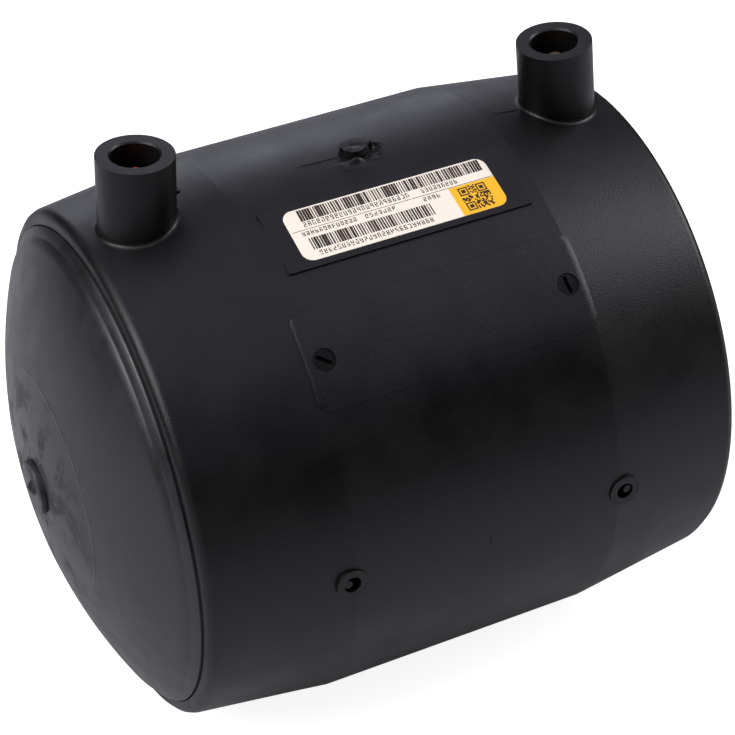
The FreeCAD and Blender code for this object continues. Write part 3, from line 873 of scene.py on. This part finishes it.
def coil_tree():
    tree, add, given = new_tree("wound_wire", [
        ("Bore Radius", "NodeSocketFloat", BORE_RADIUS * MM),
        ("Wire Radius", "NodeSocketFloat", 0.5 * MM),
        ("Zone Start", "NodeSocketFloat", 14.6 * MM),
        ("Zone Length", "NodeSocketFloat", 46.0 * MM),
        ("Link Spacing", "NodeSocketFloat", 1.2 * MM),
        ("Wire Coat", "NodeSocketMaterial", None),
    ])
    wire = given["Wire Radius"]
    radius = add("ADD", (given["Bore Radius"], wire))
    pitch = add("MULTIPLY", (wire, 2.0))
    turns = add("DIVIDE", (given["Zone Length"], pitch))
    length = add("SUBTRACT", (given["Zone Length"], pitch))
    helix = add("GeometryNodeCurveSpiral", {"Resolution": 64, "Rotations": turns, "Height": length,
                                            "Start Radius": radius, "End Radius": radius})
    round_wire = add("GeometryNodeCurvePrimitiveCircle", {"Resolution": 6, "Radius": wire})
    start = add("ADD", (given["Zone Start"], wire))
    starts = {side: add("MULTIPLY", (start, side)) for side in (1, -1)}
    zones = []
    for side, place in starts.items():
        shift = add("ShaderNodeCombineXYZ", {"X": place})
        zones.append(add("GeometryNodeTransform", {
            "Geometry": helix, "Translation": shift, "Rotation": (0, side * math.pi / 2, 0)}))
    for half in (0.5, -0.5):
        aside = add("MULTIPLY", (given["Link Spacing"], half))
        ends = [add("ShaderNodeCombineXYZ", (place, aside, radius)) for place in starts.values()]
        zones.append(add("GeometryNodeCurvePrimitiveLine", {"Start": ends[0], "End": ends[1]}))
    joined = add("GeometryNodeJoinGeometry", {"Geometry": zones})
    tube = add("GeometryNodeCurveToMesh", {
        "Curve": joined, "Profile Curve": round_wire, "Fill Caps": True})
    real = add("GeometryNodeRealizeInstances", (tube,))
    dressed = add("GeometryNodeSetMaterial", {"Geometry": real, "Material": given["Wire Coat"]})
    add("NodeGroupOutput", (dressed,))
    return tree


coil = grow(coil_tree(), {"Wire Coat": wire_skin}, "wound_wire", "heating_coil", 70)
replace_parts(coil, "heating_coil")

# %% [markdown]
# ## Pins and the red cap
# Each pin is turned, so it is an outline spun round its shroud's axis. The free pin has a rounded
# tip. The other wears the red cap, whose end is a low dome.

# %% Terminal pins and cap
def round_shroud(side):
    """A placing function for spin, round the axis of one shroud."""
    base, axis, out, across = shroud_frame(side)

    def place(along, radius, turn):
        return base + axis * along + (out * math.cos(turn) + across * math.sin(turn)) * radius

    return place


def quarter_round(end, radius, rounding, steps=6):
    """Outline points that round the edge of a tip, from its side to its end."""
    return [(end - rounding * (1 - math.sin(math.pi / 2 * k / steps)),
             radius - rounding * (1 - math.cos(math.pi / 2 * k / steps))) for k in range(steps + 1)]


PIN_FOOT, ROOT_RADIUS = -6.7, 2.4
PIN_RADIUS = 2.0
CAP_BOTTOM = PIN_TIP - 3.4
PEG_RADIUS, PEG_TOP = 1.1, CAP_BOTTOM + 2.0
CAP_PLAY = 0.05
root = [(PIN_FOOT, 0), (PIN_FOOT, ROOT_RADIUS), (SHROUD_FLOOR, ROOT_RADIUS), (SHROUD_FLOOR, PIN_RADIUS)]
free_tip = quarter_round(PIN_TIP, PIN_RADIUS, 0.6) + [(PIN_TIP, 0)]
peg = [(CAP_BOTTOM, PIN_RADIUS), (CAP_BOTTOM, PEG_RADIUS), (PEG_TOP, PEG_RADIUS), (PEG_TOP, 0)]
cap_inside = [(PEG_TOP + CAP_PLAY, 0), (PEG_TOP + CAP_PLAY, PEG_RADIUS + CAP_PLAY)]
cap_mouth = [(CAP_BOTTOM + CAP_PLAY, PEG_RADIUS + CAP_PLAY), (CAP_BOTTOM + CAP_PLAY, PIN_RADIUS)]
cap_outside = quarter_round(PIN_TIP, PIN_RADIUS, 1.5, 9) + [(PIN_TIP, 0)]
for name, outline, side, material, slot, node in (
        ("brass_pin_mouth_end", root + free_tip, 1, brass, "terminal_pins", "terminal_pin_mouth_end"),
        ("brass_pin_dome_end", root + peg, -1, brass, "terminal_pins", "terminal_pin_dome_end"),
        ("red_cap", cap_inside + cap_mouth + cap_outside, -1, red_plastic, "red_pin_cap", "red_pin_cap")):
    points, faces = spin(outline, 48, round_shroud(side))
    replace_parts(make_closed(name, points, faces, material, slot, 50), node)

# %% [markdown]
# ## The label
# The label is a printed paper sticker: two bar codes, rows of small figures and a square code on
# an amber field. None of it can be read here. The bars and the code's cells are random, and the
# figures are random strokes, so that from a step away the print has the right weight and rhythm.
# Each ink is a thin layer just over the paper.

# %% Label paper and its fields
LABEL_HALF_LENGTH = 27.25
LABEL_HALF_WIDTH = 7.85
LABEL_CORNER = 2.8
PAPER_TOP = 0.17
INK_UP = 0.02
EDGE_GAP = 0.03

points, faces = rounded_plate(on_bed, LABEL_HALF_LENGTH, LABEL_HALF_WIDTH, LABEL_CORNER,
                              low=0.02, high=PAPER_TOP, bevel=0.04)
paper = make_closed("label_paper", points, faces, label_paper, "barcode_label", 50)
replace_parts(paper, "barcode_label")


def on_label(x, v, up):
    """A point over the paper, v mm down from the label's upper edge."""
    return on_bed(x, v - LABEL_HALF_WIDTH, PAPER_TOP + up)


def make_amber_field():
    """The field from its straight left and upper edges out to the label's own rounded corner."""
    left, top, bottom, rows = 14.8, 6.62, 2 * LABEL_HALF_WIDTH, 30
    straight = LABEL_HALF_LENGTH - EDGE_GAP - LABEL_CORNER
    points = []
    for k in range(rows + 1):
        v = top + (bottom - EDGE_GAP - top) * math.sin(math.pi / 2 * k / rows)
        over = max(0.0, v - (bottom - LABEL_CORNER))
        right = straight + math.sqrt(max(0.0, LABEL_CORNER ** 2 - over ** 2))
        section = ((left, INK_UP), (right, INK_UP), (right, -INK_UP), (left, -INK_UP))
        points += [on_label(x, v, height) for x, height in section]
    make_closed("label_amber_field", points, tube_faces(4, rows + 1), amber_ink, "barcode_label", 50)


make_amber_field()


def make_print(name, boxes, up, thick=0.03):
    """Rectangles (x0, x1, v0, v1) in mm on the label, as thin closed slabs."""
    points, faces = [], []
    for x0, x1, v0, v1 in boxes:
        faces += tube_faces(4, 2, start=len(points))
        for height in (up - thick, up):
            points += [on_label(x, v, height) for x, v in ((x0, v0), (x1, v0), (x1, v1), (x0, v1))]
    make_closed(name, points, faces, black_ink, "barcode_label", 30)


# %% [markdown]
# ## Rows of figures
# A figure is a few short strokes in a cell, some of them left out by chance. The divider is one
# long thin line.

# %% Rows of unreadable figures
STROKES = [(0, 1, 0, 0), (0, 1, 1, 1), (0, 1, 2, 2), (0, 0, 0, 1), (1, 1, 0, 1), (0, 0, 1, 2), (1, 1, 1, 2)]


def figure_row(x0, x1, v, height, pitch, seed, line=0.2):
    """Boxes for a row of figures from x0 to x1, its middle at v."""
    chance = random.Random(seed)
    wide = pitch * 0.62
    boxes = []
    x = x0
    while x + wide <= x1:
        for left, right, top, bottom in chance.sample(STROKES, chance.choice((4, 5, 5, 6))):
            a, b = x + left * (wide - line), x + right * (wide - line) + line
            c = v - height / 2 + top * (height - line) / 2
            d = v - height / 2 + bottom * (height - line) / 2 + line
            boxes.append((a, b, c, d))
        x += pitch
    return boxes


# x from and to, middle, height, pitch; the place in the table is the seed
ROWS = [(-23.1, 5.1, 5.0, 1.45, 1.18), (8.2, 18.1, 5.0, 1.35, 1.12), (-24.6, -10.2, 7.6, 1.2, 1.12),
        (-8.0, 0.6, 7.6, 1.2, 1.2), (7.6, 12.6, 7.6, 1.2, 1.2), (-22.9, 7.6, 13.95, 1.35, 1.17)]
DIVIDER = (-26.8, 27.0, 6.36, 6.5)
figures = [box for seed, row in enumerate(ROWS, 1) for box in figure_row(*row, seed)] + [DIVIDER]
make_print("label_figures", figures, INK_UP)

# %% [markdown]
# ## Bars and code cells
# A bar code is one thing repeated with chance in its widths, so it is a tree of Geometry Nodes: a
# line of points, a thin slab at each, and a move onto the label. The square code is the same
# idea on a grid of points from which a fixed seed takes about half.

# %% Bars and code cells by Geometry Nodes
def lay_on_bed(add, geometry, given):
    """Lays flat geometry, x along the bore and y down from the label's middle, on the bed."""
    place = add("ShaderNodeSeparateXYZ", (add("GeometryNodeInputPosition"),)).outputs
    sine, cosine = (add(kind, (given["Bed Angle"],)) for kind in ("SINE", "COSINE"))
    down = place["Y"]
    reach = add("ADD", (given["Paper Distance"], place["Z"]))
    down_side, reach_side, reach_high, down_high = (
        add("MULTIPLY", pair)
        for pair in ((cosine, down), (sine, reach), (cosine, reach), (sine, down)))
    side = add("ADD", (down_side, reach_side))
    side = add("MULTIPLY", (side, -1.0))
    high = add("SUBTRACT", (reach_high, down_high))
    laid = add("ShaderNodeCombineXYZ", (place["X"], side, high))
    moved = add("GeometryNodeSetPosition", {"Geometry": geometry, "Position": laid})
    dressed = add("GeometryNodeSetMaterial", {"Geometry": moved, "Material": given["Ink"]})
    add("NodeGroupOutput", (dressed,))


CODE_CENTRE = (20.35, 3.2, 0.05)
LABEL_INPUTS = [
    ("Paper Distance", "NodeSocketFloat", (BED_DISTANCE + PAPER_TOP) * MM),
    ("Bed Angle", "NodeSocketFloat", BED_ANGLE),
    ("Ink Thickness", "NodeSocketFloat", INK_UP * MM),
    ("Ink", "NodeSocketMaterial", None),
    ("Seed", "NodeSocketInt", 1),
]


def bar_tree():
    tree, add, given = new_tree("bar_code", [
        ("Start", "NodeSocketFloat", 0.0),
        ("Pitch", "NodeSocketFloat", 0.68 * MM),
        ("Bars", "NodeSocketInt", 80),
        ("Top", "NodeSocketFloat", 0.4 * MM),
        ("Height", "NodeSocketFloat", 3.5 * MM),
    ] + LABEL_INPUTS)
    pitch, height, thick = given["Pitch"], given["Height"], given["Ink Thickness"]
    half = add("DIVIDE", (height, 2.0))
    middle = add("ADD", (given["Top"], half))
    start = add("ShaderNodeCombineXYZ", (given["Start"], middle, thick))
    step = add("ShaderNodeCombineXYZ", (pitch,))
    line = add("GeometryNodeMeshLine", {
        "Count": given["Bars"], "Start Location": start, "Offset": step})
    size = add("ShaderNodeCombineXYZ", (pitch, height, thick))
    slab = add("GeometryNodeMeshCube", {"Size": size})
    width = add("FunctionNodeRandomValue", {"Min": 0.25, "Max": 0.95, "Seed": given["Seed"]},
                data_type="FLOAT")
    scale = add("ShaderNodeCombineXYZ", (width, 1.0, 1.0))
    bars = add("GeometryNodeInstanceOnPoints", {"Points": line, "Instance": slab, "Scale": scale})
    lay_on_bed(add, add("GeometryNodeRealizeInstances", (bars,)), given)
    return tree


def code_tree():
    tree, add, given = new_tree("square_code", [
        ("Centre", "NodeSocketVector", tuple(v * MM for v in CODE_CENTRE)),
        ("Side", "NodeSocketFloat", 7.2 * MM),
        ("Cells", "NodeSocketInt", 21),
        ("Filled", "NodeSocketFloat", 0.5),
        ("Mark Reach", "NodeSocketFloat", 0.9 * MM),
    ] + LABEL_INPUTS)
    side, cells, thick = given["Side"], given["Cells"], given["Ink Thickness"]
    gaps = add("SUBTRACT", (cells, 1.0))
    cell = add("DIVIDE", (side, gaps))
    field = add("GeometryNodeMeshGrid", {
        "Size X": side, "Size Y": side, "Vertices X": cells, "Vertices Y": cells})
    keep = add("FunctionNodeRandomValue", {"Probability": given["Filled"], "Seed": given["Seed"]},
               data_type="BOOLEAN")
    # no cells under the marks, which stand in every corner but the right low one
    spot = add("ShaderNodeSeparateXYZ", (add("GeometryNodeInputPosition"),)).outputs
    far, past = [], []
    for axis in "XY":
        size = add("ABSOLUTE", (spot[axis],))
        far.append(add("GREATER_THAN", (size, given["Mark Reach"])))
        past.append(add("GREATER_THAN", (spot[axis], 0.0)))
    corner = add("MULTIPLY", tuple(far))
    right_low = add("MULTIPLY", tuple(past))
    others = add("SUBTRACT", (1.0, right_low))
    marked = add("MULTIPLY", (corner, others))
    free = add("SUBTRACT", (1.0, marked))
    kept = add("MULTIPLY", (keep, free))
    size = add("ShaderNodeCombineXYZ", (cell, cell, thick))
    slab = add("GeometryNodeMeshCube", {"Size": size})
    code = add("GeometryNodeInstanceOnPoints", {"Points": field, "Instance": slab, "Selection": kept})
    moved = add("GeometryNodeTransform", {"Geometry": code, "Translation": given["Centre"]})
    lay_on_bed(add, add("GeometryNodeRealizeInstances", (moved,)), given)
    return tree


bars = bar_tree()
for name, start, count, top, height, seed in (("label_bars_upper", -22.9, 72, -7.4, 3.5, 3),
                                              ("label_bars_lower", -23.7, 48, 1.3, 3.6, 8)):
    grow(bars, {"Start": start * MM, "Bars": count, "Top": top * MM, "Height": height * MM, "Seed": seed,
                "Ink": black_ink}, name, "barcode_label", 30)
grow(code_tree(), {"Seed": 5, "Ink": black_ink}, "label_code_cells", "barcode_label", 30)


def corner_mark(centre_x, centre_v, side=2.5, line=0.36):
    """Boxes for one square ring with a filled middle."""
    half, core = side / 2, side / 2 - 2 * line
    x0, x1, v0, v1 = centre_x - half, centre_x + half, centre_v - half, centre_v + half
    return [(x0, x1, v0, v0 + line), (x0, x1, v1 - line, v1), (x0, x0 + line, v0 + line, v1 - line),
            (x1 - line, x1, v0 + line, v1 - line),
            (centre_x - core, centre_x + core, centre_v - core, centre_v + core)]


marks = corner_mark(17.95, 8.65) + corner_mark(22.75, 8.65) + corner_mark(17.95, 13.45)
make_print("label_code_marks", marks, INK_UP + 0.02)

# %% [markdown]
# ## The studio
# The photograph was taken on white, with light from behind and from both sides. The floor is a
# matt pale grey, and a glow that only the camera sees lifts it to white, so that the shadow stays
# soft under the fitting. The sky is bright only overhead, and the camera sees it as a white wall.

# %% Floor and world
FLOOR_HALF = 0.6
SEEN_GLOW, MIRRORED_GLOW = 0.9, 0.03
SKY_HEIGHTS, SKY_STRENGTHS = (0.45, 0.95), (0.008, 1.0)
MIRRORED_WALL = 0.02


def camera_and_mirrored(add):
    """Shares of the light path: 1 for the camera's own rays, 1 for rays that a surface reflects."""
    path = add("ShaderNodeLightPath").outputs
    mirrored = add("ADD", (path["Is Glossy Ray"], path["Is Transmission Ray"]))
    return path["Is Camera Ray"], mirrored


def make_floor():
    level = -BARREL_RADIUS * MM
    corners = [(x * FLOOR_HALF, y * FLOOR_HALF, level) for x, y in ((-1, -1), (1, -1), (1, 1), (-1, 1))]
    mesh = bpy.data.meshes.new("floor")
    mesh.from_pydata(corners, [], [(0, 1, 2, 3)])
    material, add, _ = new_material("matt_white_table")
    camera, mirrored = camera_and_mirrored(add)
    matt = add("ShaderNodeBsdfDiffuse", {"Color": colour("#c4c4c4")})
    seen = add("MULTIPLY", (camera, SEEN_GLOW))
    mirrored = add("MULTIPLY", (mirrored, MIRRORED_GLOW))
    strength = add("ADD", (seen, mirrored))
    glow = add("ShaderNodeEmission", {"Color": colour("#ffffff"), "Strength": strength})
    both = add("ShaderNodeAddShader", (matt, glow))
    add("ShaderNodeOutputMaterial", (both,))
    mesh.materials.append(material)
    floor = bpy.data.objects.new("floor", mesh)
    bpy.context.scene.collection.objects.link(floor)


def make_world():
    world = bpy.data.worlds.new("studio")
    world.use_nodes = True
    world.node_tree.nodes.clear()
    add = partial(add_node, world.node_tree)
    camera, mirrored = camera_and_mirrored(add)
    way = add("ShaderNodeTexCoord").outputs["Generated"]
    height = add("ShaderNodeSeparateXYZ", (way,)).outputs["Z"]
    overhead = add(RANGE, (height, *SKY_HEIGHTS, *SKY_STRENGTHS))
    room = add("ShaderNodeBackground", {"Color": colour("#ebe9ff"), "Strength": overhead})
    wall = add("ShaderNodeBackground", {"Color": colour("#ffffff"), "Strength": 1.0})
    mirrored = add("MULTIPLY", (mirrored, MIRRORED_WALL))
    share = add("ADD", (camera, mirrored))
    mixed = add("ShaderNodeMixShader", (share, room, wall))
    add("ShaderNodeOutputWorld", (mixed,))
    bpy.context.scene.world = world


make_floor()
make_world()

# %% Lamps
def add_softbox(name, place, size, watts, tint):
    """A soft lamp at a place in metres, turned towards the fitting."""
    lamp = bpy.data.lights.new(name, "AREA")
    lamp.shape = "RECTANGLE"
    lamp.size, lamp.size_y = size
    lamp.energy = watts
    lamp.color = colour(tint)[:3]
    holder = bpy.data.objects.new(name, lamp)
    holder.location = place
    holder.rotation_euler = Vector(place).to_track_quat("Z", "Y").to_euler()
    bpy.context.scene.collection.objects.link(holder)


add_softbox("softbox_behind", (0.36, 1.50, 0.36), (1.0, 0.45), 3.6, "#ececff")
add_softbox("softbox_left", (-1.05, -0.05, 0.91), (0.8, 0.8), 18, "#fbfaff")
add_softbox("softbox_right", (1.19, -0.21, 0.70), (0.7, 0.7), 11, "#fdfbff")

# %% [markdown]
# ## The camera
# The camera's place was found by fitting the fitting's outline to the photograph: an angle round
# it, an angle above the table, a slight tilt, and where the bore's middle lies before the lens.

# %% Camera
AROUND, ABOVE, TILT = (math.radians(v) for v in (-24.856, 35.975, -2.18))
MIDDLE_SEEN = Vector((-1.297, -4.127, -645.779)) * MM
FOCAL_PIXELS, FRAME_PIXELS, SENSOR = 2456.721, 735, 36.0


def add_camera():
    back = Vector((math.sin(AROUND) * math.cos(ABOVE), -math.cos(AROUND) * math.cos(ABOVE),
                   math.sin(ABOVE)))
    level = Vector((math.cos(AROUND), math.sin(AROUND), 0))
    upright = back.cross(level)
    right = level * math.cos(TILT) + upright * math.sin(TILT)
    up = upright * math.cos(TILT) - level * math.sin(TILT)
    eye = -(right * MIDDLE_SEEN.x + up * MIDDLE_SEEN.y + back * MIDDLE_SEEN.z)
    view = bpy.data.cameras.new("camera")
    view.sensor_width = SENSOR
    view.lens = FOCAL_PIXELS * SENSOR / FRAME_PIXELS
    view.clip_start = 0.01
    camera = bpy.data.objects.new("camera", view)
    turn = Matrix((right, up, back)).transposed().to_4x4()
    camera.matrix_world = Matrix.Translation(eye) @ turn
    bpy.context.scene.collection.objects.link(camera)
    bpy.context.scene.camera = camera
    print("lens", round(view.lens, 2), "mm, eye at", [round(v, 3) for v in eye])


add_camera()
bpy.context.scene.view_settings.view_transform = "Standard"
